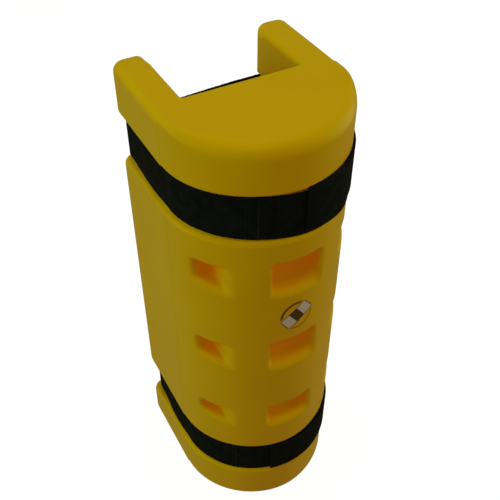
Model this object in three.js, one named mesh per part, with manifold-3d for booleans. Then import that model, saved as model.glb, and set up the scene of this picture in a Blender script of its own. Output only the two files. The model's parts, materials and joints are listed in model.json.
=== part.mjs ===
// Clip-on guard for the upright of a pallet rack.
//
// A hollow polyethylene moulding with a half-round nose and two side wings wraps three sides of the
// upright, and two hook-and-loop straps in moulded grooves hold it on. Each strap is one long strip
// that starts behind the right wing, passes once round the guard, crosses the open back and ends on
// top of its own first layer at the middle of the nose.
//
// Millimetres, +Z up. The nose points along -Y and the open channel along +Y. The origin is the
// middle of the guard's footprint.

import * as THREE from 'three';
import { mergeVertices } from 'three/addons/utils/BufferGeometryUtils.js';
import Module from 'manifold-3d';

const wasm = await Module();
wasm.setup();

// Driving dimensions of the moulding.
const height = 500;
const width = 176;
const depth = 189;
const channelWidth = 114;
const channelDepth = 86;
const wall = 5;
const wingCornerRadius = 13;
const channelMouthRadius = 6;
const topEdgeRadius = 12;
const topCornerFill = 6;
const blockEdgeRadius = 4;
const baseEdgeRadius = 3;
const clearance = 0.3;

// Grooves for the straps, the height of each strap's middle, and how far round the nose from its
// middle each strap's tab ends (towards the right wing is positive).
const grooveDepth = 5;
const grooveWidth = 50;
const straps = {
  lower: { z: 75.5, tabEndAngle: THREE.MathUtils.degToRad(-14.5) },
  upper: { z: 429, tabEndAngle: THREE.MathUtils.degToRad(2.5) },
};

// Hollows moulded into the front, in three columns and three rows.
const pocketRows = [
  { floor: 139.5, top: 171 },
  { floor: 236, top: 273 },
  { floor: 338, top: 376 },
];
const pocketFloorSlope = 0.32;
const middlePocket = { halfWidth: 25, backHalfWidth: 21, depth: 15 };
const sidePocket = { inner: 55.5, backInner: 61, outer: 86, backY: -41, topDrop: 6, floorRise: 1 };

// Webbing of the straps. The second layer lies on the first where they overlap.
const strapWidth = 46;
const webbing = 1.4;
const hookThickness = 1.1;
const hookWidth = 42;
const hookPatchAngle = THREE.MathUtils.degToRad(50);
const tailEndX = 21;

// Label on the nose, between the top and middle pockets.
const label = { halfWidth: 18, halfHeight: 19, z: 306.5, thickness: 0.5 };

// Vent of the moulding, in its underside, and the plug that closes it.
const vent = { y: -45, radius: 6, headRadius: 9, headRecess: 2.3, headThickness: 1.7, stem: 8 };

// Derived places in plan.
const noseRadius = width / 2;
const noseY = noseRadius - depth / 2;
const rearY = depth / 2;
const channelBackY = rearY - channelDepth;
const cornerX = width / 2 - wingCornerRadius;
const cornerY = rearY - wingCornerRadius;

// Insets of the strap layers from the moulding's outline, from the groove's floor outwards.
const firstLayer = { inner: grooveDepth - clearance };
firstLayer.outer = firstLayer.inner - webbing;
const spanLayer = { inner: firstLayer.outer - clearance };
spanLayer.outer = spanLayer.inner - webbing;
const hookLayer = { inner: firstLayer.outer - clearance };
hookLayer.outer = hookLayer.inner - hookThickness;
const tabLayer = { inner: hookLayer.outer - clearance };
tabLayer.outer = tabLayer.inner - webbing;

// Smoothness of the curves.
const noseSteps = 24;
const cornerSteps = 4;
const bevelSteps = 3;
const ventSteps = 20;

// Distance within which the corners of neighbouring faces are one point, and the least distance
// along the route between two stations.
const weldDistance = 1e-4;
const leastStep = 1e-3;

const materials = {
  polyethylene: new THREE.MeshStandardMaterial({ color: 0xe8b800, roughness: 0.42, metalness: 0 }),
  webbing: new THREE.MeshStandardMaterial({ color: 0x121312, roughness: 0.95, metalness: 0 }),
  hook: new THREE.MeshStandardMaterial({ color: 0x0c0c0c, roughness: 0.85, metalness: 0 }),
  label: new THREE.MeshStandardMaterial({ color: 0xcfcdbb, roughness: 0.5, metalness: 0 }),
};

// Turns a closed surface into a solid for a join or a cut, and back again.
function toSolid(geometry) {
  const bare = geometry.clone();
  bare.deleteAttribute('normal');
  bare.deleteAttribute('uv');
  const merged = mergeVertices(bare, weldDistance);
  return new wasm.Manifold(new wasm.Mesh({
    numProp: 3,
    vertProperties: new Float32Array(merged.attributes.position.array),
    triVerts: new Uint32Array(merged.index.array),
  }));
}

function fromSolid(solid) {
  const mesh = solid.getMesh();
  const geometry = new THREE.BufferGeometry();
  geometry.setAttribute('position', new THREE.BufferAttribute(mesh.vertProperties, 3));
  geometry.setIndex(new THREE.BufferAttribute(mesh.triVerts, 1));
  geometry.computeVertexNormals();
  return geometry;
}

// The route round the outside in plan, one unit of u for each of its runs: the right rear corner,
// the right wing, the nose, the left wing, the left rear corner and the line across the open back.
// An inset moves it inwards.
function routePoint(u, inset) {
  const side = width / 2 - inset;
  const corner = wingCornerRadius - inset;
  const nose = noseRadius - inset;
  const arc = (x, y, radius, angle) => new THREE.Vector2(
    x + radius * Math.cos(angle),
    y + radius * Math.sin(angle),
  );
  if (u <= 1) return arc(cornerX, cornerY, corner, (1 - u) * Math.PI / 2);
  if (u <= 2) return new THREE.Vector2(side, THREE.MathUtils.lerp(cornerY, noseY, u - 1));
  if (u <= 3) return arc(0, noseY, nose, (2 - u) * Math.PI);
  if (u <= 4) return new THREE.Vector2(-side, THREE.MathUtils.lerp(noseY, cornerY, u - 3));
  if (u <= 5) return arc(-cornerX, cornerY, corner, Math.PI - (u - 4) * Math.PI / 2);
  return new THREE.Vector2(THREE.MathUtils.lerp(-cornerX, cornerX, u - 5), rearY - inset);
}

// The stations of a stretch of the route: evenly spaced on the curves, at the ends on the rest.
function stations(from, to) {
  const stepsOfRun = [cornerSteps, 1, noseSteps, 1, cornerSteps, 1];
  const inside = [];
  stepsOfRun.forEach((steps, run) => {
    for (let i = 0; i <= steps; i += 1) inside.push(run + i / steps);
  });
  const distinct = [...new Set(inside)];
  const between = distinct.filter((u) => u > from + leastStep && u < to - leastStep);
  return [from, ...between, to];
}

// Outline of the moulding in plan without its channel, moved inwards by an inset.
function outline(inset) {
  return new THREE.Shape(stations(0, 5).map((u) => routePoint(u, inset)));
}

// A prism of an outline between two heights, with both rims rounded by the same radius.
function block(inset, bottom, top, rim) {
  const geometry = new THREE.ExtrudeGeometry(outline(inset), {
    depth: top - bottom - 2 * rim,
    bevelEnabled: rim > 0,
    bevelThickness: rim,
    bevelSize: rim,
    bevelOffset: -rim,
    bevelSegments: bevelSteps,
  });
  geometry.translate(0, 0, bottom + rim);
  return toSolid(geometry);
}

// Channel for the upright, open at the back, grown by a margin where it shapes the hollow inside.
function channel(margin) {
  const half = channelWidth / 2 + margin;
  const back = channelBackY - margin;
  const mouth = rearY - channelMouthRadius;
  const shape = new THREE.Shape();
  shape.moveTo(-half, back);
  shape.lineTo(half, back);
  shape.lineTo(half, mouth);
  shape.absarc(half + channelMouthRadius, mouth, channelMouthRadius, Math.PI, Math.PI / 2, true);
  shape.lineTo(half + channelMouthRadius, rearY + wall);
  shape.lineTo(-half - channelMouthRadius, rearY + wall);
  shape.lineTo(-half - channelMouthRadius, rearY);
  shape.absarc(-half - channelMouthRadius, mouth, channelMouthRadius, Math.PI / 2, 0, true);
  shape.closePath();
  const geometry = new THREE.ExtrudeGeometry(shape, {
    depth: height + 2 * wall,
    curveSegments: cornerSteps,
    bevelEnabled: false,
  });
  geometry.translate(0, 0, -wall);
  return toSolid(geometry);
}

// A box whose front face (-Y) and back face (+Y) each have their own span in X and Z.
function taperedBox(front, back) {
  const geometry = new THREE.BoxGeometry(1, 1, 1);
  const position = geometry.attributes.position;
  for (let i = 0; i < position.count; i += 1) {
    const face = position.getY(i) < 0 ? front : back;
    const x = position.getX(i) < 0 ? face.x[0] : face.x[1];
    const z = position.getZ(i) < 0 ? face.z[0] : face.z[1];
    position.setXYZ(i, x, face.y, z);
  }
  return toSolid(geometry);
}

// One pocket of the middle column. Its floor falls outwards, and its sides are drafted.
function middlePocketCutter(row, margin) {
  const backY = -rearY + middlePocket.depth;
  const frontY = -rearY - wall;
  const rise = pocketFloorSlope * middlePocket.depth;
  const front = middlePocket.halfWidth + margin;
  const back = middlePocket.backHalfWidth + margin;
  return taperedBox(
    { y: frontY, x: [-front, front], z: [row.floor - margin, row.top + margin] },
    { y: backY + margin, x: [-back, back], z: [row.floor + rise - margin, row.top + margin] },
  );
}

// One pocket of a side column: side is -1 on the left and 1 on the right. Its back is square to Y,
// so the pocket is deep towards the nose and runs out towards the wing.
function sidePocketCutter(row, side, margin) {
  const frontY = -rearY - wall;
  const floor = row.floor + sidePocket.floorRise;
  const surfaceY = noseY - Math.sqrt(noseRadius ** 2 - sidePocket.inner ** 2);
  const rise = pocketFloorSlope * (sidePocket.backY - surfaceY);
  const fall = pocketFloorSlope * (surfaceY - frontY);
  const span = (inner) => {
    const ends = [side * (inner - margin), side * (sidePocket.outer + margin)];
    return ends.sort((a, b) => a - b);
  };
  const top = row.top - sidePocket.topDrop + margin;
  return taperedBox(
    { y: frontY, x: span(sidePocket.inner), z: [floor - fall - margin, top] },
    {
      y: sidePocket.backY + margin,
      x: span(sidePocket.backInner),
      z: [floor + rise - margin, top],
    },
  );
}

// Every pocket, grown by a margin where it shapes the hollow inside.
function pocketCutters(margin) {
  const cutters = [];
  for (const row of pocketRows) {
    cutters.push(middlePocketCutter(row, margin));
    cutters.push(sidePocketCutter(row, -1, margin));
    cutters.push(sidePocketCutter(row, 1, margin));
  }
  return cutters;
}

// A ring sector round the nose between two insets, for the label and the seat that it lies in.
function noseSector(innerInset, outerInset, halfAngle, halfHeight) {
  const shape = new THREE.Shape();
  const start = -Math.PI / 2 - halfAngle;
  const end = -Math.PI / 2 + halfAngle;
  shape.absarc(0, noseY, noseRadius - outerInset, start, end, false);
  shape.absarc(0, noseY, noseRadius - innerInset, end, start, true);
  shape.closePath();
  const geometry = new THREE.ExtrudeGeometry(shape, {
    depth: 2 * halfHeight,
    curveSegments: cornerSteps,
    bevelEnabled: false,
  });
  geometry.translate(0, 0, label.z - halfHeight);
  return geometry;
}

// A round bar standing on a height, for the vent and its plug.
function ventBar(radius, bottom, length) {
  const geometry = new THREE.CylinderGeometry(radius, radius, length, ventSteps);
  geometry.rotateX(Math.PI / 2);
  geometry.translate(0, vent.y, bottom + length / 2);
  return toSolid(geometry);
}

// The moulding: three full-size blocks on a core that is set back to the grooves' floor.
function bodyShell() {
  const lowerGroove = [-1, 1].map((end) => straps.lower.z + end * grooveWidth / 2);
  const upperGroove = [-1, 1].map((end) => straps.upper.z + end * grooveWidth / 2);
  const envelope = block(0, -height, height, topEdgeRadius);
  const labelSeat = noseSector(
    label.thickness + clearance, -wall,
    (label.halfWidth + clearance) / noseRadius, label.halfHeight + clearance,
  );
  let body = block(grooveDepth, baseEdgeRadius, height - baseEdgeRadius, 0)
    .add(block(0, 0, lowerGroove[0], baseEdgeRadius))
    .add(block(0, lowerGroove[1], upperGroove[0], blockEdgeRadius))
    .add(block(0, upperGroove[1], height + topEdgeRadius, blockEdgeRadius))
    .intersect(envelope)
    .subtract(channel(0))
    .subtract(toSolid(labelSeat));
  let hollow = block(wall, wall, height - wall, 0)
    .subtract(channel(wall));
  for (const groove of [lowerGroove, upperGroove]) {
    const ring = block(-wall, groove[0] - wall, groove[1] + wall, 0)
      .subtract(block(grooveDepth + wall, groove[0] - 2 * wall, groove[1] + 2 * wall, 0));
    hollow = hollow.subtract(ring);
  }
  const topFillBottom = height - wall - topEdgeRadius;
  const topRing = block(-wall, topFillBottom, height, 0)
    .subtract(block(wall + topCornerFill, topFillBottom - wall, height + wall, 0));
  hollow = hollow.subtract(topRing);
  for (const cutter of pocketCutters(0)) body = body.subtract(cutter);
  for (const cutter of pocketCutters(wall)) hollow = hollow.subtract(cutter);
  body = body.subtract(hollow)
    .subtract(ventBar(vent.radius, -wall, 3 * wall))
    .subtract(ventBar(vent.headRadius, -wall, wall + vent.headRecess));
  return fromSolid(body);
}

function ventPlug() {
  const headBottom = vent.headRecess - clearance - vent.headThickness;
  const head = ventBar(vent.headRadius - clearance, headBottom, vent.headThickness);
  const stem = ventBar(vent.radius - clearance, headBottom, vent.stem);
  return fromSolid(head.add(stem));
}

// A strip along a stretch of the route, between the two insets of a layer.
function strip(layer, [from, to], middleZ, stripWidth) {
  const us = stations(from, to);
  const outer = us.map((u) => routePoint(u, layer.outer));
  const inner = us.map((u) => routePoint(u, layer.inner)).reverse();
  const geometry = new THREE.ExtrudeGeometry(new THREE.Shape([...outer, ...inner]), {
    depth: stripWidth,
    bevelEnabled: false,
  });
  geometry.translate(0, 0, middleZ - stripWidth / 2);
  return geometry;
}

// One complete strap: the first layer round the guard, its free tail behind the right wing, the
// span across the open back, and the tab on top with the hook patch sewn inside its end.
function strap(name, { z, tabEndAngle }) {
  const backLength = 2 * cornerX;
  const endGap = clearance / backLength;
  const tailStart = 5 + (tailEndX + cornerX) / backLength;
  const tabEnd = 2 + (Math.PI / 2 - tabEndAngle) / Math.PI;
  const patchStart = tabEnd - hookPatchAngle / Math.PI;
  const web = (piece, layer, stretch) => mesh(
    `${name}_strap_${piece}`,
    strip(layer, stretch, z, strapWidth),
    materials.webbing,
  );
  const group = new THREE.Group();
  group.add(
    web('band', firstLayer, [0, 5]),
    web('tail', firstLayer, [tailStart, 6 - endGap]),
    web('rear_span', spanLayer, [5 + endGap, 6 - endGap]),
    web('tab', tabLayer, [0, tabEnd]),
    mesh(
      `${name}_strap_hook_patch`,
      strip(hookLayer, [patchStart, tabEnd], z, hookWidth),
      materials.hook,
    ),
  );
  return group;
}

function mesh(name, geometry, material) {
  const object = new THREE.Mesh(geometry, material);
  object.name = name;
  return object;
}

const guard = new THREE.Group();
guard.add(
  mesh('body_shell', bodyShell(), materials.polyethylene),
  mesh('vent_plug', ventPlug(), materials.polyethylene),
  mesh(
    'label',
    noseSector(label.thickness, 0, label.halfWidth / noseRadius, label.halfHeight),
    materials.label,
  ),
);
for (const [name, measures] of Object.entries(straps)) guard.add(strap(name, measures));

export default guard;
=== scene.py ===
"""Looks of the rack upright protector: a satin yellow moulding and two black hook-and-loop straps."""
import json
import math

import bpy
import numpy as np
from mathutils import Matrix, Vector


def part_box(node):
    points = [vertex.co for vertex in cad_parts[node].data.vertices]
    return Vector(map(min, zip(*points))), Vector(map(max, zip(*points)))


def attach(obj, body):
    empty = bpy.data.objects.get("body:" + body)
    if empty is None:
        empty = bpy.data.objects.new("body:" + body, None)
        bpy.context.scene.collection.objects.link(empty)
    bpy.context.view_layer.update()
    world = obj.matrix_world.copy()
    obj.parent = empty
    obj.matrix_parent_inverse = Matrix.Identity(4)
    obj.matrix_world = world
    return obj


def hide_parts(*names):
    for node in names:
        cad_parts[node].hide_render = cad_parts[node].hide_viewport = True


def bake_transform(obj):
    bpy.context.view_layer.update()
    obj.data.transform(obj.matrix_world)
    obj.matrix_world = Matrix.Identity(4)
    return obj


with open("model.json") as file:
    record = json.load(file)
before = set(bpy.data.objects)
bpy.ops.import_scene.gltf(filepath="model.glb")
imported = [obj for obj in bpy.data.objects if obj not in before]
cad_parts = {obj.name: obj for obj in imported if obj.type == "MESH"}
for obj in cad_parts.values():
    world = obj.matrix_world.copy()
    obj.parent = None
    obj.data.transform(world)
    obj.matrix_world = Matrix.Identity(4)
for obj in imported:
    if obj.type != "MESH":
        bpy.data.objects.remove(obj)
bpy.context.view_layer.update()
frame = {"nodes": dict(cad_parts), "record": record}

MM = 0.001

# --- Sizes, from the frame -------------------------------------------------------------------------
body_low, body_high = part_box("body_shell")
plug_low, plug_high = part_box("vent_plug")
mounts = {mount["name"]: mount for mount in frame["record"]["mounts"]}

HEIGHT = body_high.z
HALF_WIDTH = body_high.x
REAR_Y = body_high.y
FRONT_Y = body_low.y
CHANNEL_HALF = mounts["channel_right"]["pos_m"][0]
CHANNEL_BACK_Y = mounts["channel_back"]["pos_m"][1]

# --- Sizes of the moulding's details ---------------------------------------------------------------
# The moulding comes from a two-part mould. The front half is a touch narrower and sits off centre,
# the parting plane is a little askew, and the two sides' edges are not quite alike.
PARTING_Y = -5 * MM
PARTING_SKEW = 5 * MM
PARTING_SHIFT = 0.4 * MM
PARTING_WIDTH = 1.2 * MM
NOSE_Y = -11 * MM
NOSE_HALF_WIDTH = HALF_WIDTH - 0.6 * MM
NOSE_DEPTH = NOSE_Y - FRONT_Y
NOSE_POWER = 1.906
CORNER_RADIUS = 13 * MM
RIGHT_CORNER_RADIUS = 9 * MM
LEFT_WING_RIM = 8 * MM
RIGHT_WING_RIM = 5.5 * MM
LEFT_SIDE_RIM = 5 * MM
RIGHT_SIDE_RIM = 3 * MM
NOSE_RIM = 13 * MM
BLOCK_BOTTOM_EDGE = 1.8 * MM
BLOCK_TOP_EDGE = 4.5 * MM
BASE_EDGE = 5.5 * MM
CHANNEL_SHIFT = -0.5 * MM
CHANNEL_CORNER = 1.5 * MM
LEFT_CHANNEL_EDGE = 3.0 * MM
RIGHT_CHANNEL_EDGE = 6.0 * MM
LEFT_MOUTH = 6.5 * MM
RIGHT_MOUTH = 12.5 * MM
GROOVE_DEPTH = 5 * MM
REAR_GROOVE_EXTRA = 3.0 * MM
LOWER_GROOVE_EXTRA = 2.2 * MM
GROOVE_MARGIN = 2 * MM
GROOVE_FILLET = 1.5 * MM
UPPER_LEFT_DROOP = 1.5 * MM
MIDDLE_RIGHT_DROOP = 3.0 * MM
BASE_DROOP = 2.5 * MM
BASE_REAR_DROOP = 7.0 * MM
MIDDLE_REAR_DROOP = 3.5 * MM
UPPER_INNER_DROOP = 8 * MM
POCKET_LIP_TOP = 3 * MM
POCKET_LIP_SILL = 4 * MM
POCKET_CORNER = 4.5 * MM
POCKET_FLOOR_SLOPE = 0.32
MIDDLE_POCKET_DEPTH = 15 * MM
MIDDLE_POCKET_HALF_WIDTH = 26 * MM
MIDDLE_POCKET_DRAFT = 0.27
MIDDLE_POCKET_TOP_SLOPE = 0.08
SIDE_POCKET_FRONT_Y = -75 * MM
SIDE_POCKET_BACK_Y = -41 * MM
SIDE_POCKET_INNER_X = 57 * MM
SIDE_POCKET_OUTER_X = 86 * MM
SIDE_POCKET_DRAFT = 0.094
SIDE_POCKET_SILL_RISE = 1 * MM
SIDE_POCKET_TOP_DROP = 6 * MM
MIDDLE_LEFT_DROOP = 1 * MM
REAR_TOP_EDGE_EXTRA = 2 * MM
VENT_CLEARANCE = 0.4 * MM
VENT_DEPTH = 2.3 * MM
VENT_EDGE = 0.6 * MM
VENT_Y = (plug_low.y + plug_high.y) / 2
VENT_RADIUS = plug_high.x + VENT_CLEARANCE
POCKET_ROWS = [(138.5 * MM, 172.5 * MM), (235 * MM, 274.5 * MM), (337 * MM, 377.5 * MM)]

# Stretches over which a size eases from one value to another. Each is measured along X, Y or Z, or
# along that axis turned round.
SIDES_MEET = (-20 * MM, 20 * MM)
NOSE_RIM_GROWS = (15 * MM, 65 * MM)
REAR_BEGINS = (55 * MM, 90 * MM)
RIGHT_BEGINS = (40 * MM, 84 * MM)
BASE_DROOP_BEGINS = (-40 * MM, 10 * MM)
BASE_REAR_BEGINS = (40 * MM, 85 * MM)
INNER_REAR_BEGINS = (76 * MM, 88 * MM)
INNER_SIDE_ENDS = (-77 * MM, -67 * MM)
LEFT_BEGINS = 30 * MM
LEFT_FULL = 80 * MM
DEEP_GROOVE_BEGINS = (45 * MM, 80 * MM)
LOWER_GROOVE_ENDS = (-150 * MM, -120 * MM)
CHANNEL_EDGE_GROWS = (CHANNEL_BACK_Y - 2 * MM, CHANNEL_BACK_Y + 12 * MM)
MOUTH_BEGINS = (70 * MM, 86 * MM)

# Painted shade and light in the hollows: the pockets and grooves are tinted orange and give off an
# orange light of their own. The reach is how far it spreads from a pocket's back, and the groove's
# depths run from its edge to its floor.
MIDDLE_POCKET_SHADE_REACH = 11 * MM
SIDE_POCKET_SHADE_REACH = 24 * MM
POCKET_SILL_SHADE_SHARE = 0.45
GROOVE_SHADE_SHARE = 0.5
GROOVE_SHADE_DEPTHS = (1 * MM, 4 * MM)
GROOVE_SHADE_LIMIT = (-8 * MM, -7 * MM)
GROOVE_SHADE_TOP = 8 * MM
GROOVE_SHADE_FADE = 20 * MM
PAINTED_SHADE_EDGE = (2 * MM, 8 * MM)


def groove_span(strap):
    """Lowest and highest height of a strap's groove."""
    low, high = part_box(f"{strap}_strap_band")
    return low.z - GROOVE_MARGIN, high.z + GROOVE_MARGIN


LOWER_GROOVE = groove_span("lower")
UPPER_GROOVE = groove_span("upper")


# --- Camera, light and floor -----------------------------------------------------------------------
CAMERA_AZIMUTH = math.radians(-28.875)
CAMERA_ELEVATION = math.radians(42.99)
CAMERA_ROLL = math.radians(0.286)
CAMERA_TARGET = Vector((8.4, 10.6, 299.0)) * MM
CAMERA_DISTANCE = 0.770
CAMERA_LENS = 53.95
CAMERA_SENSOR = 36.0

# Name, place in metres, size in metres, power in watts and colour of each light.
LIGHTS = [
    ("left", (-1.5, 0.35, 0.45), 1.1, 4.85, (0.68, 1.0, 0.48)),
    ("right", (1.5, -0.25, 0.5), 1.1, 4.4, (0.91, 1.0, 0.50)),
    ("above", (0.0, 0.5, 1.9), 1.2, 3.6, (0.95, 1.0, 0.65)),
    ("crown", (-0.1, -0.5, 1.85), 0.35, 2.1, (1.0, 0.95, 0.55)),
]
LIGHT_AIM = (0.0, 0.0, 0.25)
SURROUND_COLOUR = (1.0, 0.59, 0.35, 1)
SURROUND_STRENGTH = 0.225
WHITE = (1.0, 1.0, 1.0, 1)
FLOOR_COLOUR = (0.25, 0.25, 0.25, 1)
FLOOR_GLOW = 0.96
FLOOR_HALF = 6.0


def add_camera():
    """The camera, aimed by its azimuth, elevation and distance from a point inside the guard."""
    azimuth, elevation, roll = CAMERA_AZIMUTH, CAMERA_ELEVATION, CAMERA_ROLL
    back = Vector((
        math.sin(azimuth) * math.cos(elevation),
        -math.cos(azimuth) * math.cos(elevation),
        math.sin(elevation),
    ))
    right = (-back).cross(Vector((0, 0, 1))).normalized()
    up = right.cross(-back)
    tilted_right = right * math.cos(roll) + up * math.sin(roll)
    tilted_up = up * math.cos(roll) - right * math.sin(roll)
    rotation = Matrix((tilted_right, tilted_up, back)).transposed()
    data = bpy.data.cameras.new("camera")
    data.sensor_width = CAMERA_SENSOR
    data.lens = CAMERA_LENS
    camera = bpy.data.objects.new("camera", data)
    place = CAMERA_TARGET + back * CAMERA_DISTANCE
    camera.matrix_world = Matrix.Translation(place) @ rotation.to_4x4()
    bpy.context.collection.objects.link(camera)
    bpy.context.scene.camera = camera


def add_area_light(name, place, aim, size, power, colour):
    """A square soft light at a place, turned to a point."""
    data = bpy.data.lights.new(name, "AREA")
    data.shape = "SQUARE"
    data.size = size
    data.energy = power
    data.color = colour
    light = bpy.data.objects.new(name, data)
    light.location = place
    light.rotation_mode = "QUATERNION"
    light.rotation_quaternion = (Vector(place) - Vector(aim)).to_track_quat("Z", "Y")
    bpy.context.collection.objects.link(light)


def add_surround():
    """A dim warm surround that lights the scene, behind a white backdrop that the camera sees."""
    world = bpy.data.worlds.new("studio")
    bpy.context.scene.world = world
    world.use_nodes = True
    nodes, links = world.node_tree.nodes, world.node_tree.links
    surround = nodes["Background"]
    surround.inputs["Color"].default_value = SURROUND_COLOUR
    surround.inputs["Strength"].default_value = SURROUND_STRENGTH
    backdrop = nodes.new("ShaderNodeBackground")
    backdrop.inputs["Color"].default_value = WHITE
    seen = nodes.new("ShaderNodeMixShader")
    rays = nodes.new("ShaderNodeLightPath")
    links.new(rays.outputs["Is Camera Ray"], seen.inputs[0])
    links.new(surround.outputs[0], seen.inputs[1])
    links.new(backdrop.outputs[0], seen.inputs[2])
    links.new(seen.outputs[0], nodes["World Output"].inputs["Surface"])


def add_floor():
    """A pale floor that glows evenly and throws no light on the guard."""
    mesh = bpy.data.meshes.new("floor")
    corners = [(x * FLOOR_HALF, y * FLOOR_HALF, 0) for x, y in ((-1, -1), (1, -1), (1, 1), (-1, 1))]
    mesh.from_pydata(corners, [], [(0, 1, 2, 3)])
    floor = bpy.data.objects.new("floor", mesh)
    bpy.context.collection.objects.link(floor)
    floor.visible_diffuse = False
    floor.visible_glossy = False
    material = bpy.data.materials.new("floor")
    material.use_nodes = True
    shader = material.node_tree.nodes["Principled BSDF"]
    shader.inputs["Base Color"].default_value = FLOOR_COLOUR
    shader.inputs["Roughness"].default_value = 1.0
    shader.inputs["Specular IOR Level"].default_value = 0.0
    shader.inputs["Emission Color"].default_value = WHITE
    shader.inputs["Emission Strength"].default_value = FLOOR_GLOW
    mesh.materials.append(material)


def add_studio():
    """Soft light from both sides and above, a warm surround, and a pale floor."""
    for name, place, size, power, colour in LIGHTS:
        add_area_light(name, place, LIGHT_AIM, size, power, colour)
    add_surround()
    add_floor()
    bpy.context.scene.view_settings.view_transform = "Standard"


# --- Materials -------------------------------------------------------------------------------------
YELLOW = ((0.90, 0.685, 0.0, 1), (0.93, 0.73, 0.0, 1))
YELLOW_SCUFFED = (0.95, 0.80, 0.20, 1)
# Painted shade and light: the orange tint of the pockets and grooves, and the orange light they give
# off.
RECESS_SHADE_ORANGE = (1.0, 0.36, 0.0, 1)
RECESS_PAINTED_LIGHT = (1.0, 0.38, 0.0, 1)
RECESS_PAINTED_LIGHT_STRENGTH = 0.06
WEBBING_BLACK = ((0.0018, 0.0034, 0.0036, 1), (0.016, 0.034, 0.036, 1))
HOOK_BLACK = ((0.004, 0.004, 0.004, 1), (0.012, 0.012, 0.012, 1))
THREAD_BLACK = ((0.008, 0.009, 0.008, 1), (0.022, 0.023, 0.021, 1))
FILM_YELLOW = ((0.90, 0.66, 0.0, 1), (0.93, 0.70, 0.0, 1))
PRINT_PALE = ((0.72, 0.86, 0.95, 1), (0.86, 1.0, 1.0, 1))
PRINT_INK = (0.08, 0.065, 0.025, 1)
PRINT_TILT = math.radians(-38)
RIB_PITCH = 2.2 * MM
ROW_PITCH = 1.5 * MM


class Nodes:
    """Short ways to add and join the nodes of one material."""

    def __init__(self, name):
        self.material = bpy.data.materials.new(name)
        self.material.use_nodes = True
        self.tree = self.material.node_tree
        self.shader = self.tree.nodes["Principled BSDF"]

    def feed(self, socket, value):
        """Joins a source to a socket, or sets the socket's own value."""
        if isinstance(value, bpy.types.NodeSocket):
            self.tree.links.new(value, socket)
        else:
            socket.default_value = value

    def add(self, kind, values=None, **settings):
        """A node with its settings and its inputs' values or sources."""
        node = self.tree.nodes.new(kind)
        for key, value in settings.items():
            setattr(node, key, value)
        for key, value in (values or {}).items():
            self.feed(node.inputs[key], value)
        return node

    def math(self, operation, a, b=0.0, c=0.0):
        """Result of a sum or a function of up to three values."""
        node = self.add("ShaderNodeMath", {0: a, 1: b, 2: c}, operation=operation)
        return node.outputs[0]

    def noise(self, vector, scale, detail=2.0, roughness=0.5):
        """Noise from about 0.3 to 0.7, with its scale in cells to each unit of the vector."""
        values = {"Vector": vector, "Scale": scale, "Detail": detail, "Roughness": roughness}
        return self.add("ShaderNodeTexNoise", values).outputs["Fac"]

    def ramp(self, value, low, high, out_low=0.0, out_high=1.0):
        """A value brought from one range to another, and held at its ends."""
        values = {
            "Value": value, "From Min": low, "From Max": high, "To Min": out_low, "To Max": out_high,
        }
        return self.add("ShaderNodeMapRange", values).outputs[0]

    def mix(self, factor, a, b):
        """Colour a where the factor is 0 and colour b where it is 1. Sockets 0, 6, 7 and 2 are the
        mix node's factor, its two colours and its resulting colour."""
        node = self.add("ShaderNodeMix", {0: factor, 6: a, 7: b}, data_type="RGBA")
        return node.outputs[2]

    def bump(self, height, strength, distance, normal=None):
        """Normal of a surface with this height on it, over another normal if there is one."""
        values = {"Height": height, "Strength": strength, "Distance": distance}
        if normal is not None:
            values["Normal"] = normal
        return self.add("ShaderNodeBump", values).outputs["Normal"]

    def set(self, **values):
        """Sets the shader's sockets, with spaces in their names written as underscores."""
        for key, value in values.items():
            self.feed(self.shader.inputs[key.replace("_", " ")], value)


def polyethylene_material():
    """Satin moulded polyethylene: faint blotches, orange peel, fine scuffs and a few scratches."""
    n = Nodes("polyethylene")
    place = n.add("ShaderNodeTexCoord").outputs["Object"]
    blotches = n.noise(place, 14.0, 3.0)
    colour = n.mix(n.ramp(blotches, 0.3, 0.7), *YELLOW)
    # Painted shade: the pockets and grooves are tinted orange by the recess weight.
    recess = n.add("ShaderNodeAttribute", attribute_name="recess").outputs["Fac"]
    colour = n.mix(recess, colour, RECESS_SHADE_ORANGE)
    stretched = n.add("ShaderNodeMapping", {"Vector": place, "Scale": (1.0, 1.0, 0.12)}).outputs[0]
    scratches = n.ramp(n.noise(stretched, 420.0, 2.0), 0.66, 0.74)
    patches = n.ramp(n.noise(place, 22.0, 4.0, 0.65), 0.52, 0.68)
    scuffs = n.math("MULTIPLY", scratches, patches)
    colour = n.mix(n.math("MULTIPLY", scuffs, 0.35), colour, YELLOW_SCUFFED)
    grain = n.noise(place, 900.0, 2.0)
    peel = n.noise(place, 160.0, 2.0)
    waves = n.noise(place, 18.0, 1.0)
    roughness = n.ramp(patches, 0.0, 1.0, 0.34, 0.41)
    roughness = n.math("ADD", roughness, n.math("MULTIPLY", scuffs, 0.2))
    normal = n.bump(waves, 0.15, 2 * MM)
    normal = n.bump(peel, 0.09, 0.2 * MM, normal)
    normal = n.bump(grain, 0.10, 0.05 * MM, normal)
    n.set(Base_Color=colour, Roughness=roughness, Normal=normal)
    n.set(Specular_IOR_Level=0.22, Specular_Tint=(1.0, 0.85, 0.0, 1))
    # Painted light: the pockets and grooves give off orange light by the same recess weight.
    n.set(Emission_Color=RECESS_PAINTED_LIGHT)
    n.set(Emission_Strength=n.math("MULTIPLY", recess, RECESS_PAINTED_LIGHT_STRENGTH))
    return n.material


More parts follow.
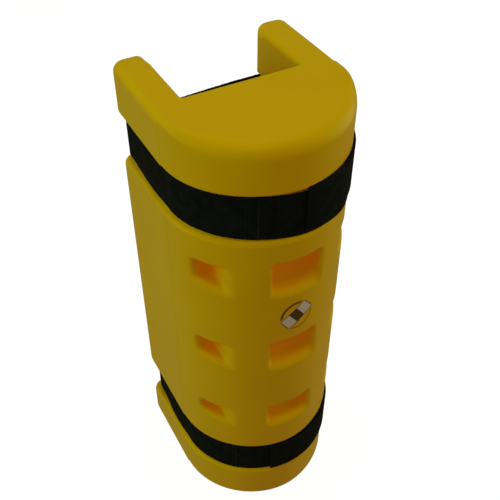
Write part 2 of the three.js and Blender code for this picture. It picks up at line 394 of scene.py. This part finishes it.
def webbing_material():
    """Black loop tape: ribs across the strap, rows along it, and a short fuzzy pile."""
    n = Nodes("webbing")
    uv = n.add("ShaderNodeUVMap", uv_map="strap").outputs["UV"]
    split = n.add("ShaderNodeSeparateXYZ", {"Vector": uv})
    along, across = split.outputs[0], split.outputs[1]
    ribs = n.math("SINE", n.math("MULTIPLY", along, math.tau / RIB_PITCH))
    rows = n.math("SINE", n.math("MULTIPLY", across, math.tau / ROW_PITCH))
    weave = n.math("MULTIPLY", n.math("ADD", ribs, 1.0), n.math("ADD", rows, 1.0))
    weave = n.math("MULTIPLY", weave, 0.25)
    fuzz = n.noise(uv, 2200.0, 3.0, 0.7)
    patches = n.noise(uv, 90.0, 2.0)
    height = n.math("ADD", n.math("MULTIPLY", weave, 0.6), fuzz)
    tone = n.math("ADD", n.math("MULTIPLY", weave, 0.5), n.math("MULTIPLY", fuzz, 0.6))
    tone = n.math("MULTIPLY", tone, n.ramp(patches, 0.3, 0.7, 0.6, 1.1))
    colour = n.mix(n.ramp(tone, 0.15, 0.75), *WEBBING_BLACK)
    n.set(Base_Color=colour, Roughness=0.95, Specular_IOR_Level=0.08)
    n.set(Normal=n.bump(height, 0.8, 0.4 * MM))
    return n.material


def hook_material():
    """Black nylon hook tape, with its rows of stiff hooks."""
    n = Nodes("hook_tape")
    uv = n.add("ShaderNodeUVMap", uv_map="strap").outputs["UV"]
    cells = n.add("ShaderNodeTexVoronoi", {"Vector": uv, "Scale": 900.0}).outputs["Distance"]
    colour = n.mix(cells, *HOOK_BLACK)
    n.set(Base_Color=colour, Roughness=0.6, Normal=n.bump(cells, 0.7, 0.4 * MM))
    return n.material


def thread_material():
    """Black polyester thread with its twist."""
    n = Nodes("thread")
    place = n.add("ShaderNodeTexCoord").outputs["Object"]
    twist = n.noise(place, 3000.0, 1.0)
    colour = n.mix(twist, *THREAD_BLACK)
    n.set(Base_Color=colour, Roughness=0.6, Normal=n.bump(twist, 0.5, 0.1 * MM))
    return n.material


def label_material():
    """A film label with a plain print: a slanted bar, pale with a dark middle, between a thick arc
    and a thin one. Lengths are in shares of the label's half size."""
    n = Nodes("label_film")
    uv = n.add("ShaderNodeUVMap", uv_map="label").outputs["UV"]
    turned = n.add("ShaderNodeVectorRotate", {"Vector": uv, "Angle": PRINT_TILT}).outputs[0]
    split = n.add("ShaderNodeSeparateXYZ", {"Vector": turned})
    along, across = (n.math("ABSOLUTE", split.outputs[k]) for k in (0, 1))
    inner_radius = n.ramp(split.outputs[1], -0.1, 0.1, 0.85, 0.77)
    radius = n.add("ShaderNodeVectorMath", {0: uv}, operation="LENGTH").outputs["Value"]
    worn = n.noise(uv, 5.0, 5.0, 0.7)
    beyond = n.ramp(n.math("SUBTRACT", radius, inner_radius), 0.0, 0.02)
    arcs = n.math("MULTIPLY", beyond, n.ramp(radius, 0.98, 0.96))
    arcs = n.math("MULTIPLY", arcs, n.ramp(across, 0.50, 0.52))
    bar = n.math("MULTIPLY", n.ramp(along, 0.90, 0.88), n.ramp(across, 0.45, 0.43))
    bar_inside = n.math("MULTIPLY", n.ramp(along, 0.85, 0.83), n.ramp(across, 0.40, 0.38))
    bar_inside = n.math("MULTIPLY", bar_inside, n.ramp(along, 0.26, 0.28))
    film = n.mix(n.ramp(worn, 0.3, 0.7), *FILM_YELLOW)
    pale = n.mix(n.ramp(worn, 0.35, 0.6), *PRINT_PALE)
    colour = n.mix(n.math("MULTIPLY", arcs, 0.85), film, PRINT_INK)
    colour = n.mix(bar, colour, PRINT_INK)
    colour = n.mix(bar_inside, colour, pale)
    n.set(Base_Color=colour, Roughness=n.ramp(worn, 0.3, 0.7, 0.4, 0.5))
    n.set(Specular_IOR_Level=0.4, Specular_Tint=(1.0, 0.8, 0.15, 1))
    return n.material


# --- The moulding, as a distance field -------------------------------------------------------------
# A field is below zero inside the solid. Each edge is rounded where two fields meet.
def rounded_max(a, b, radius):
    """The intersection of two solids, with the edge between them rounded."""
    corner = np.hypot(np.maximum(a + radius, 0), np.maximum(b + radius, 0))
    return np.minimum(np.maximum(a, b), -radius) + corner


def rounded_min(a, b, radius):
    """The union of two solids, with the inner corner between them filled."""
    return -rounded_max(-a, -b, radius)


def smooth_step(value, low, high):
    t = np.clip((value - low) / (high - low), 0, 1)
    return t * t * (3 - 2 * t)


def by_side(x, left, right):
    """A value that differs between the left side and the right side."""
    return left + (right - left) * smooth_step(x, *SIDES_MEET)


def wings_field(x, y):
    """Distance in plan from the rear half's outline: a box with rounded rear corners."""
    radius = by_side(x, CORNER_RADIUS, RIGHT_CORNER_RADIUS)
    over_x = np.abs(x) - (HALF_WIDTH - radius)
    over_y = y - (REAR_Y - radius)
    outside = np.hypot(np.maximum(over_x, 0), np.maximum(over_y, 0))
    return outside + np.minimum(np.maximum(over_x, over_y), 0) - radius


def nose_field(x, y):
    """Distance in plan from the front half's outline: nearly a half ellipse."""
    across = np.abs(x) / NOSE_HALF_WIDTH
    forward = np.maximum(NOSE_Y - y, 0) / NOSE_DEPTH
    reach = np.maximum((across ** NOSE_POWER + forward ** NOSE_POWER) ** (1 / NOSE_POWER), 1e-6)
    slope_x = (across / reach) ** (NOSE_POWER - 1) / NOSE_HALF_WIDTH
    slope_y = (forward / reach) ** (NOSE_POWER - 1) / NOSE_DEPTH
    return (reach - 1) / np.hypot(slope_x, slope_y)


def in_front(x, y):
    """1 in front of the parting line and 0 behind it, with a narrow step between."""
    parting = PARTING_Y + PARTING_SKEW * x / HALF_WIDTH
    return 0.5 - 0.5 * np.tanh((y - parting) / PARTING_WIDTH)


def outline_field(x, y):
    """Distance in plan from the moulding's outline, without its channel."""
    front = in_front(x, y)
    return wings_field(x, y) * (1 - front) + nose_field(x - PARTING_SHIFT, y) * front


def left_side(x):
    """0 from the nose's middle rightwards and 1 near the moulding's left side."""
    return np.clip((-x - LEFT_BEGINS) / (LEFT_FULL - LEFT_BEGINS), 0, 1)


def blocks_field(x, y, z):
    """The three full-size blocks and the core between them that floors the grooves."""
    side = outline_field(x, y)
    front = in_front(x, y)
    side_rim = by_side(x, LEFT_SIDE_RIM, RIGHT_SIDE_RIM)
    front_rim = side_rim + (NOSE_RIM - side_rim) * smooth_step(-y, *NOSE_RIM_GROWS)
    rim = by_side(x, LEFT_WING_RIM, RIGHT_WING_RIM) * (1 - front) + front_rim * front
    rear = smooth_step(y, *REAR_BEGINS)
    left = left_side(x)
    right = smooth_step(x, *RIGHT_BEGINS) * (1 - rear)
    base_top = LOWER_GROOVE[0] - BASE_DROOP * left * smooth_step(y, *BASE_DROOP_BEGINS)
    base_top = base_top - BASE_REAR_DROOP * smooth_step(y, *BASE_REAR_BEGINS)
    middle_top = UPPER_GROOVE[0] - MIDDLE_REAR_DROOP * rear
    middle_top = middle_top - MIDDLE_LEFT_DROOP * left - MIDDLE_RIGHT_DROOP * right
    inner_rear = smooth_step(y, *INNER_REAR_BEGINS) * smooth_step(-np.abs(x), *INNER_SIDE_ENDS)
    upper_bottom = UPPER_GROOVE[1] - UPPER_LEFT_DROOP * left - UPPER_INNER_DROOP * inner_rear
    top_edge = BLOCK_TOP_EDGE + REAR_TOP_EDGE_EXTRA * rear

    def block(bottom, top, bottom_edge, top_edge):
        return np.maximum(
            rounded_max(side, bottom - z, bottom_edge), rounded_max(side, z - top, top_edge),
        )

    full = block(0.0, base_top, BASE_EDGE, BLOCK_TOP_EDGE)
    full = np.minimum(full, block(LOWER_GROOVE[1], middle_top, BLOCK_BOTTOM_EDGE, top_edge))
    full = np.minimum(full, block(upper_bottom, HEIGHT, BLOCK_BOTTOM_EDGE, rim))
    extra = REAR_GROOVE_EXTRA + LOWER_GROOVE_EXTRA * smooth_step(-z, *LOWER_GROOVE_ENDS)
    floor = side + GROOVE_DEPTH + extra * smooth_step(y, *DEEP_GROOVE_BEGINS)
    core = np.maximum(floor, np.abs(z - HEIGHT / 2) - HEIGHT / 2 + 2 * GROOVE_DEPTH)
    return rounded_min(full, core, GROOVE_FILLET)


def middle_pocket_field(x, y, z, floor, top):
    """A pocket of the middle column: drafted sides, and a floor that falls outwards."""
    inwards = y - FRONT_Y
    over = np.abs(x - PARTING_SHIFT) - MIDDLE_POCKET_HALF_WIDTH + MIDDLE_POCKET_DRAFT * inwards
    sides = over / math.hypot(1, MIDDLE_POCKET_DRAFT)
    sill = (floor + POCKET_FLOOR_SLOPE * inwards - z) / math.hypot(1, POCKET_FLOOR_SLOPE)
    levels = np.maximum(sill, z - top + MIDDLE_POCKET_TOP_SLOPE * inwards)
    back = inwards - MIDDLE_POCKET_DEPTH
    return rounded_max(rounded_max(sides, levels, POCKET_CORNER), back, POCKET_CORNER)


def side_pocket_field(x, y, z, floor, top):
    """A pocket of either side column: square to Y at its back, so it runs out towards the wing."""
    across = np.abs(x - PARTING_SHIFT)
    inwards = y - SIDE_POCKET_FRONT_Y
    under = SIDE_POCKET_INNER_X + SIDE_POCKET_DRAFT * inwards - across
    wall = under / math.hypot(1, SIDE_POCKET_DRAFT)
    sides = np.maximum(wall, across - SIDE_POCKET_OUTER_X)
    sill_height = floor + SIDE_POCKET_SILL_RISE + POCKET_FLOOR_SLOPE * inwards
    sill = (sill_height - z) / math.hypot(1, POCKET_FLOOR_SLOPE)
    levels = np.maximum(sill, z - top + SIDE_POCKET_TOP_DROP)
    back = y - SIDE_POCKET_BACK_Y
    return rounded_max(rounded_max(sides, levels, POCKET_CORNER), back, POCKET_CORNER)


def vent_field(x, y, z):
    """The round recess in the underside that takes the vent plug's head."""
    return np.maximum(np.hypot(x, y - VENT_Y) - VENT_RADIUS, z - VENT_DEPTH)


def moulding_field(x, y, z):
    """The whole moulding."""
    solid = blocks_field(x, y, z)
    walls = np.abs(x - CHANNEL_SHIFT) - CHANNEL_HALF
    channel = rounded_max(walls, CHANNEL_BACK_Y - y, CHANNEL_CORNER)
    edge = by_side(x, LEFT_CHANNEL_EDGE, RIGHT_CHANNEL_EDGE)
    edge = edge * smooth_step(y, *CHANNEL_EDGE_GROWS)
    edge = np.maximum(edge, LEFT_CHANNEL_EDGE)
    mouth = by_side(x, LEFT_MOUTH, RIGHT_MOUTH)
    edge = edge + (mouth - edge) * smooth_step(y, *MOUTH_BEGINS)
    solid = rounded_max(solid, -channel, edge)
    for floor, top in POCKET_ROWS:
        lip = POCKET_LIP_SILL + (POCKET_LIP_TOP - POCKET_LIP_SILL) * smooth_step(z, floor, top)
        for pocket_field in (middle_pocket_field, side_pocket_field):
            solid = rounded_max(solid, -pocket_field(x, y, z, floor, top), lip)
    return rounded_max(solid, -vent_field(x, y, z), VENT_EDGE)


def painted_groove_light(x, y, z):
    """Painted shade and light: 1 on the upper half of the strap grooves' floors and 0 elsewhere."""
    sunk = -outline_field(x, y)
    sunk_share = smooth_step(sunk, *GROOVE_SHADE_DEPTHS) * smooth_step(-sunk, *GROOVE_SHADE_LIMIT)
    near = np.zeros(x.shape)
    for low, high in (LOWER_GROOVE, UPPER_GROOVE):
        above_middle = smooth_step(z, (low + high) / 2, high - GROOVE_SHADE_TOP)
        below_top = smooth_step(-z, -high - GROOVE_SHADE_FADE, -high)
        near = np.maximum(near, above_middle * below_top)
    return sunk_share * near


def painted_recess_light(x, y, z):
    """How much painted orange shade and painted orange light the plastic gets, from 0 to 1: most at
    the pockets' backs, and half as much at the grooves."""
    painted_light = np.zeros(x.shape)
    kinds = (
        (middle_pocket_field, FRONT_Y + MIDDLE_POCKET_DEPTH, MIDDLE_POCKET_SHADE_REACH),
        (side_pocket_field, SIDE_POCKET_BACK_Y, SIDE_POCKET_SHADE_REACH),
    )
    for floor, top in POCKET_ROWS:
        for pocket_field, back_y, reach in kinds:
            near_pocket = smooth_step(-pocket_field(x, y, z, floor, top), -3 * MM, -0.5 * MM)
            near_back = smooth_step(y, back_y - reach, back_y - 1 * MM)
            above_sill = smooth_step(z, floor + 6 * MM, floor + 22 * MM)
            upper = POCKET_SILL_SHADE_SHARE + (1 - POCKET_SILL_SHADE_SHARE) * above_sill
            painted_light = np.maximum(painted_light, near_pocket * near_back * upper)
    painted_light *= smooth_step(-outline_field(x, y), *PAINTED_SHADE_EDGE)
    return np.maximum(painted_light, GROOVE_SHADE_SHARE * painted_groove_light(x, y, z))


def graded(low, high, coarse, fine, details, reach):
    """Grid lines that close up near the details."""
    lines = [low]
    while lines[-1] < high:
        nearest = min(abs(lines[-1] - detail) for detail in details)
        ease = min(max((nearest - reach) / (4 * coarse), 0.0), 1.0)
        lines.append(lines[-1] + fine + (coarse - fine) * ease)
    return np.array(lines)


def surface_net(xs, ys, zs, field):
    """Closed mesh of quads on the surface where the sampled field changes sign."""
    lines = (xs, ys, zs)
    inside = field < 0
    cells = tuple(size - 1 for size in field.shape)
    total = np.zeros(cells + (3,))
    count = np.zeros(cells)
    quads = []
    shift = {0: slice(0, -1), 1: slice(1, None)}
    for axis in range(3):
        others = [a for a in range(3) if a != axis]
        low = tuple(slice(0, -1) if a == axis else slice(None) for a in range(3))
        high = tuple(slice(1, None) if a == axis else slice(None) for a in range(3))
        crossed = inside[low] != inside[high]
        gap = np.where(crossed, field[low] - field[high], 1.0)
        share = np.where(crossed, field[low] / gap, 0.0)
        place = np.zeros(crossed.shape + (3,))
        for a in range(3):
            spread = [1, 1, 1]
            spread[a] = -1
            if a == axis:
                start = lines[a][:-1].reshape(spread)
                place[..., a] = start + share * np.diff(lines[a]).reshape(spread)
            else:
                place[..., a] = lines[a].reshape(spread)
        place *= crossed[..., None]
        for i in (0, 1):
            for j in (0, 1):
                part = [slice(None)] * 3
                part[others[0]] = shift[i]
                part[others[1]] = shift[j]
                total += place[tuple(part)]
                count += crossed[tuple(part)]
        core = [slice(None)] * 3
        core[others[0]] = core[others[1]] = slice(1, -1)
        found = np.argwhere(crossed[tuple(core)])
        leaving = inside[low][tuple(core)][tuple(found.T)]
        found[:, others[0]] += 1
        found[:, others[1]] += 1
        ring = []
        for i, j in ((1, 1), (0, 1), (0, 0), (1, 0)):
            cell = found.copy()
            cell[:, others[0]] -= i
            cell[:, others[1]] -= j
            ring.append(np.ravel_multi_index(cell.T, cells))
        ring = np.stack(ring, axis=1)
        turned = leaving if axis != 1 else ~leaving
        ring[~turned] = ring[~turned, ::-1]
        quads.append(ring)
    used = count.ravel() > 0
    number = np.cumsum(used) - 1
    points = total.reshape(-1, 3)[used] / count.ravel()[used, None]
    return points, number[np.concatenate(quads)]


def settle(points, rounds=4, nudge=0.02 * MM):
    """Moves the points onto the moulding's surface."""
    for _ in range(rounds):
        value = moulding_field(*points.T)
        slope = np.zeros_like(points)
        for axis in range(3):
            step = np.zeros(3)
            step[axis] = nudge
            ahead = moulding_field(*(points + step).T)
            behind = moulding_field(*(points - step).T)
            slope[:, axis] = (ahead - behind) / (2 * nudge)
        steep = np.maximum((slope ** 2).sum(1), 0.05)
        points = points - slope * (value / steep)[:, None]
    return points


def mesh_object(name, points, faces, material, smooth=True):
    """A mesh object of the given points and faces, with its material and slot."""
    mesh = bpy.data.meshes.new(name)
    mesh.from_pydata([tuple(p) for p in points], [], [tuple(f) for f in faces])
    mesh.materials.append(material)
    mesh.polygons.foreach_set("use_smooth", [smooth] * len(mesh.polygons))
    mesh.update()
    piece = bpy.data.objects.new(name, mesh)
    bpy.context.collection.objects.link(piece)
    return piece


def make_moulding(material):
    """The moulding's mesh, on a grid that is finer at its edges. The parting line gets its own
    close lines."""
    margin = 4 * MM
    x_details = [s * d * MM for s in (-1, 1) for d in (21, 25, 58, 84)] + [-CHANNEL_HALF, CHANNEL_HALF]
    x_details += [-VENT_RADIUS, VENT_RADIUS]
    y_details = [PARTING_Y, CHANNEL_BACK_Y, FRONT_Y, REAR_Y]
    y_details += [VENT_Y - VENT_RADIUS, VENT_Y + VENT_RADIUS]
    z_details = [0.0, HEIGHT, *LOWER_GROOVE, *UPPER_GROOVE]
    z_details += [z for row in POCKET_ROWS for z in row]
    coarse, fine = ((3.0, 1.6))
    xs = graded(-HALF_WIDTH - margin, HALF_WIDTH + margin, coarse * MM, fine * MM, x_details, 5 * MM)
    ys = graded(FRONT_Y - margin, REAR_Y + margin, coarse * MM, fine * MM, y_details, 4 * MM)
    sides = [PARTING_Y + side * PARTING_SKEW + np.linspace(-2, 2, 9) * MM for side in (-1, 1)]
    ys = np.unique(np.round(np.concatenate([ys, *sides]), 6))
    zs = graded(-margin, HEIGHT + margin, 1.5 * coarse * MM, 0.8 * fine * MM, z_details, 6 * MM)
    field = moulding_field(xs[:, None, None], ys[None, :, None], zs[None, None, :])
    points, quads = surface_net(xs, ys, zs, field)
    points = settle(points)
    piece = mesh_object("moulding", points, quads, material)
    # The recess weight holds the painted orange shade and painted light of the pockets and grooves.
    recess = piece.data.attributes.new("recess", "FLOAT", "POINT")
    recess.data.foreach_set("value", painted_recess_light(*points.T).astype(np.float32))
    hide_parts("body_shell")
    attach(piece, "root")


# --- Straps ----------------------------------------------------------------------------------------
STRAP_STEP = 2 * MM
WEBBING = 1.5 * MM
HOOK_TAPE = 1.1 * MM
SELVAGE = 2.0 * MM
FRAY = 0.10 * MM

# About how long each run of the route is, in metres.
RUN_LENGTHS = [0.0157, 0.088, 0.27, 0.088, 0.0157, 0.15]

# Where the straps' pieces begin and end along the route.
BAND_START = 1.1
BAND_END = 3.9
TAIL_START = 5.64
HOOK_START = 2.21

# How each strap lies. The slump is how far it hangs at the back, the sway is its height about its
# groove's middle along the route, and the tab has a height of its own. The corner inset is how deep
# it lies at the left rear corner. The tab's end and the seam are places along the route.
STRAP_FITS = {
    "lower": {
        "slump": 8 * MM, "corner_inset": 8.0 * MM, "tab_height": -0.8 * MM, "tab_end": 2.58,
        "seam": 2.725, "seam_sunk": 0.0,
        "sway": [(2.0, -1.7 * MM), (2.7, -2.0 * MM), (2.9, -0.4 * MM), (3.4, -3.6 * MM),
                 (3.65, -5.0 * MM), (3.9, -9.0 * MM), (4.1, -10.0 * MM)],
    },
    "upper": {
        "slump": 6.5 * MM, "corner_inset": 6.2 * MM, "tab_height": 4.2 * MM, "tab_end": 2.486,
        "seam": 2.645, "seam_sunk": 0.15 * MM,
        "sway": [(1.8, -6.5 * MM), (2.2, -8.0 * MM), (2.42, -2.4 * MM), (2.7, -0.1 * MM),
                 (3.0, 0.0), (4.1, -2.0 * MM)],
    },
}


def route(u, inset):
    """Point and outward direction in plan. Each unit of u is one run: the right rear corner, right
    wing, nose, left wing, left rear corner, and the straight run across the open back."""
    corner_x = HALF_WIDTH - CORNER_RADIUS
    corner_y = REAR_Y - CORNER_RADIUS

    def corner(x, angle):
        out = Vector((math.cos(angle), math.sin(angle)))
        return Vector((x, corner_y)) + out * (CORNER_RADIUS - inset), out

    def side(sign, share):
        """A wing's flat, easing onto the slightly narrower nose."""
        narrow = HALF_WIDTH - NOSE_HALF_WIDTH - sign * PARTING_SHIFT
        x = HALF_WIDTH - inset - narrow * float(smooth_step(share, 0.7, 1.0))
        return Vector((sign * x, corner_y + (NOSE_Y - corner_y) * share)), Vector((sign, 0))

    if u <= 1:
        return corner(corner_x, (1 - u) * math.pi / 2)
    if u <= 2:
        return side(1, u - 1)
    if u <= 3:
        angle = (u - 2) * math.pi
        c, s = math.cos(angle), math.sin(angle)
        power = 2 / NOSE_POWER
        across = math.copysign(abs(c) ** power, c)
        forward = abs(s) ** power
        point = Vector((PARTING_SHIFT + NOSE_HALF_WIDTH * across, NOSE_Y - NOSE_DEPTH * forward))
        steep = 2 - power
        out = Vector((
            math.copysign(abs(c) ** steep, c) / NOSE_HALF_WIDTH, -(abs(s) ** steep) / NOSE_DEPTH,
        )).normalized()
        return point - out * inset, out
    if u <= 4:
        return side(-1, 4 - u)
    if u <= 5:
        return corner(-corner_x, math.pi - (u - 4) * math.pi / 2)
    return Vector((-corner_x + 2 * corner_x * (u - 5), REAR_Y - inset)), Vector((0, 1))


def route_stretch(start, stop, inset_at):
    """Points and outward directions about every STRAP_STEP along a stretch of the route."""
    us = [start]
    while us[-1] < stop - 1e-6:
        run = min(int(us[-1] + 1e-6), 5)
        us.append(min(us[-1] + STRAP_STEP / RUN_LENGTHS[run], stop, run + 1.0))
    return [(u, *route(u, inset_at(u))) for u in us]


def ribbon_section(width, thickness):
    """Closed section of the tape, as (outwards, up) pairs: rounded edges with a thicker selvage."""
    half, thick = width / 2, thickness / 2
    ridge, shoulder = half - 1.2 * MM, half - 0.3 * MM
    columns = np.linspace(-half + SELVAGE, half - SELVAGE, 15)
    outer = [(thick * 0.94, z) for z in columns]
    face = outer + [(thick, ridge), (thick * 0.7, shoulder), (0.0, half)]
    back = [(-out, z) for out, z in reversed(face[:-1])]
    bottom = [(-thick, -ridge), (-thick * 0.7, -shoulder), (0.0, -half)]
    bottom += [(thick * 0.7, -shoulder), (thick, -ridge)]
    return face + back + bottom


def make_ribbon(name, stretch, middle, width, thickness, material, sway=None):
    """A length of tape along a stretch of the route."""
    section = ribbon_section(width, thickness)
    rng = np.random.default_rng(len(name) * 7 + 3)
    points, faces, uvs, travelled = [], [], [], 0.0
    last = None
    ring = len(section)
    girth = [0.0]
    for a, b in zip(section, section[1:] + section[:1]):
        girth.append(girth[-1] + math.hypot(b[0] - a[0], b[1] - a[1]))
    distances = []
    for u, point, out in stretch:
        travelled += (point - last).length if last is not None else 0.0
        last = point
        distances.append(travelled)
        lift = sway(u) if sway else 0.0
        fray = rng.normal(0, FRAY, ring)
        for k, (outwards, up) in enumerate(section):
            edge = abs(up) > width / 2 - 1.0 * MM
            z = middle + lift + up + (fray[k] if edge else 0.0)
            place = point + out * outwards
            points.append((place.x, place.y, z))
    rows = len(stretch)
    for row in range(rows - 1):
        for k in range(ring):
            after = (k + 1) % ring
            a, b = row * ring + k, row * ring + after
            faces.append((a, a + ring, b + ring, b))
            low, high = girth[k], girth[k + 1]
            near, far = distances[row], distances[row + 1]
            uvs += [(near, low), (far, low), (far, high), (near, high)]
    faces.append(tuple(range(ring)))
    uvs += [(distances[0], girth[k]) for k in range(ring)]
    faces.append(tuple(reversed(range((rows - 1) * ring, rows * ring))))
    uvs += [(distances[-1], girth[k]) for k in reversed(range(ring))]
    piece = mesh_object(name, points, faces, material)
    layer = piece.data.uv_layers.new(name="strap")
    layer.data.foreach_set("uv", [value for uv in uvs for value in uv])
    return piece


def make_seam(name, u, middle, length, inset, thread):
    """A line of stitches across a strap: short loops of thread, end to end."""
    point, out = route(u, inset)
    along = Vector((-out.y, out.x))
    stitch, radius, bow = 2.6 * MM, 0.32 * MM, 0.35 * MM
    sides, rings = 6, 6
    points, faces = [], []
    count = int(length / stitch)
    for index in range(count):
        centre = middle + (index - (count - 1) / 2) * stitch
        start = len(points)
        for ring in range(rings):
            share = ring / (rings - 1)
            lift = bow * math.sin(math.pi * share)
            height = centre + (share - 0.5) * 0.9 * stitch
            for side in range(sides):
                angle = math.tau * side / sides
                place = point + along * (radius * math.cos(angle))
                place += out * (radius * math.sin(angle) + lift)
                points.append((place.x, place.y, height))
        for ring in range(rings - 1):
            for side in range(sides):
                here = start + ring * sides + side
                after = start + ring * sides + (side + 1) % sides
                faces.append((here, after, after + sides, here + sides))
        faces.append(tuple(reversed(range(start, start + sides))))
        faces.append(tuple(range(start + (rings - 1) * sides, start + rings * sides)))
    return mesh_object(name, points, faces, thread)


def blended(u, stops):
    """A value that eases between (u, value) stops."""
    for (low, before), (high, after) in zip(stops, stops[1:]):
        if u <= high:
            return before + (after - before) * float(smooth_step(u, low, high))
    return stops[-1][1]


def make_strap(strap, fit, webbing, hook, thread):
    """One strap: first layer, free tail, span across the back, the tab with its hook tape, and the
    seam. The strap hangs slack at the back, by the slump."""
    low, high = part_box(f"{strap}_strap_band")
    middle, width = (low.z + high.z) / 2, high.z - low.z
    slump, tab_end = fit["slump"], fit["tab_end"]

    def sway(u):
        """How far the first layer sits above its groove's middle."""
        if u >= 5:
            return -slump
        return blended(u, [(0, -slump), (1, -0.5 * slump), *fit["sway"], (5, -slump)])

    def first_inset(u):
        """How deep the first layer lies. It sinks into the deeper grooves at the wings' rear, and
        the tab pulls it outwards on the right side."""
        if u < 3:
            return blended(u, [
                (0, 5.6 * MM), (0.8, 5.6 * MM), (1.8, 0.7 * MM), (2.05, 0.7 * MM),
                (2.2, -0.1 * MM), (2.28, -0.2 * MM), (2.6, 3.8 * MM),
            ])
        return blended(u, [(3.4, 3.8 * MM), (4.0, fit["corner_inset"])])

    def second_inset(u):
        """How deep the upper layer lies. It bulges off the right side, and lies down at the back's
        left end and towards its own end."""
        if u >= 5:
            return blended(u, [(5, first_inset(5)), (5.8, 1.2 * MM)])
        return blended(u, [
            (0, 1.2 * MM), (1, 0.2 * MM), (1.8, -0.9 * MM), (2.05, -0.9 * MM),
            (2.2, -1.7 * MM), (2.28, -1.8 * MM), (tab_end, 0.6 * MM),
        ])

    def hook_inset(u):
        """The hook tape's thickness fills the gap between the layers near the tab's end."""
        return (first_inset(u) + second_inset(u)) / 2

    def tab_lift(u):
        """How far the tab sits above the layer beneath it."""
        return (fit["tab_height"] - sway(u)) * float(smooth_step(u, 0.3, 1.9))

    def ribbon(name, path, wide, thickness, material, lift=lambda u: 0.0):
        return make_ribbon(
            f"{strap}_{name}", path, middle, wide, thickness, material,
            lambda u: sway(u) + lift(u),
        )

    band = ribbon(
        "band_webbing", route_stretch(BAND_START, BAND_END, first_inset), width, WEBBING,
        webbing,
    )
    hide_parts(f"{strap}_strap_band")
    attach(band, "root")

    tail_path = route_stretch(TAIL_START, 6.0, first_inset)
    tail_path += route_stretch(0.0, BAND_START, first_inset)[1:]
    tail = ribbon("tail_webbing", tail_path, width, WEBBING, webbing)
    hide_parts(f"{strap}_strap_tail")
    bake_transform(tail)

    def span_inset(u):
        return first_inset(u) if u < 5 else second_inset(u)

    span = ribbon(
        "span_webbing", route_stretch(BAND_END, 6.0, span_inset), width, WEBBING, webbing,
    )
    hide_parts(f"{strap}_strap_rear_span")
    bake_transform(span)

    tab = ribbon(
        "tab_webbing", route_stretch(0.0, tab_end, second_inset), width, WEBBING, webbing,
        tab_lift,
    )
    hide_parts(f"{strap}_strap_tab")
    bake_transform(tab)

    patch = ribbon(
        "hook_tape", route_stretch(HOOK_START, tab_end - 0.006, hook_inset), width - 4 * MM,
        HOOK_TAPE, hook, tab_lift,
    )
    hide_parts(f"{strap}_strap_hook_patch")
    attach(patch, f"{strap}_tab")

    seam_u = fit["seam"]
    seam_inset = first_inset(seam_u) - WEBBING / 2 + fit["seam_sunk"]
    seam = make_seam(
        f"{strap}_seam", seam_u, middle + sway(seam_u), 0.9 * width, seam_inset, thread,
    )
    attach(seam, "root")


# --- Label and vent plug ---------------------------------------------------------------------------
def make_label(material):
    """A thin oval of film lying on the nose."""
    low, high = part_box("label")
    middle = (low.z + high.z) / 2
    half_width, half_height = high.x, (high.z - low.z) / 2
    rings, spokes = 8, 64
    proud = 0.15 * MM
    points, uvs = [], []
    for ring in range(rings + 1):
        for spoke in range(spokes if ring else 1):
            angle = math.tau * spoke / spokes
            across = ring / rings * math.cos(angle)
            up = ring / rings * math.sin(angle)
            x = across * half_width
            forward = (1 - (abs(x) / NOSE_HALF_WIDTH) ** NOSE_POWER) ** (1 / NOSE_POWER)
            lift = proud if ring < rings else -proud
            y = NOSE_Y - NOSE_DEPTH * forward - lift
            points.append((x + PARTING_SHIFT, y, middle + up * half_height))
            uvs.append((across, up))
    faces = [(0, 1 + spoke, 1 + (spoke + 1) % spokes) for spoke in range(spokes)]
    for ring in range(rings - 1):
        for spoke in range(spokes):
            a = 1 + ring * spokes + spoke
            b = 1 + ring * spokes + (spoke + 1) % spokes
            faces.append((a, a + spokes, b + spokes, b))
    piece = mesh_object("label_film", points, faces, material)
    layer = piece.data.uv_layers.new(name="label")
    corners = [uvs[loop.vertex_index] for loop in piece.data.loops]
    layer.data.foreach_set("uv", [value for uv in corners for value in uv])
    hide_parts("label")
    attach(piece, "root")


def main():
    add_camera()
    add_studio()
    plastic = polyethylene_material()
    webbing = webbing_material()
    hook = hook_material()
    thread = thread_material()
    make_moulding(plastic)
    for strap, fit in STRAP_FITS.items():
        make_strap(strap, fit, webbing, hook, thread)
    make_label(label_material())
    plug = frame["nodes"]["vent_plug"]
    for slot in plug.material_slots:
        slot.material = plastic


main()
bpy.context.view_layer.update()
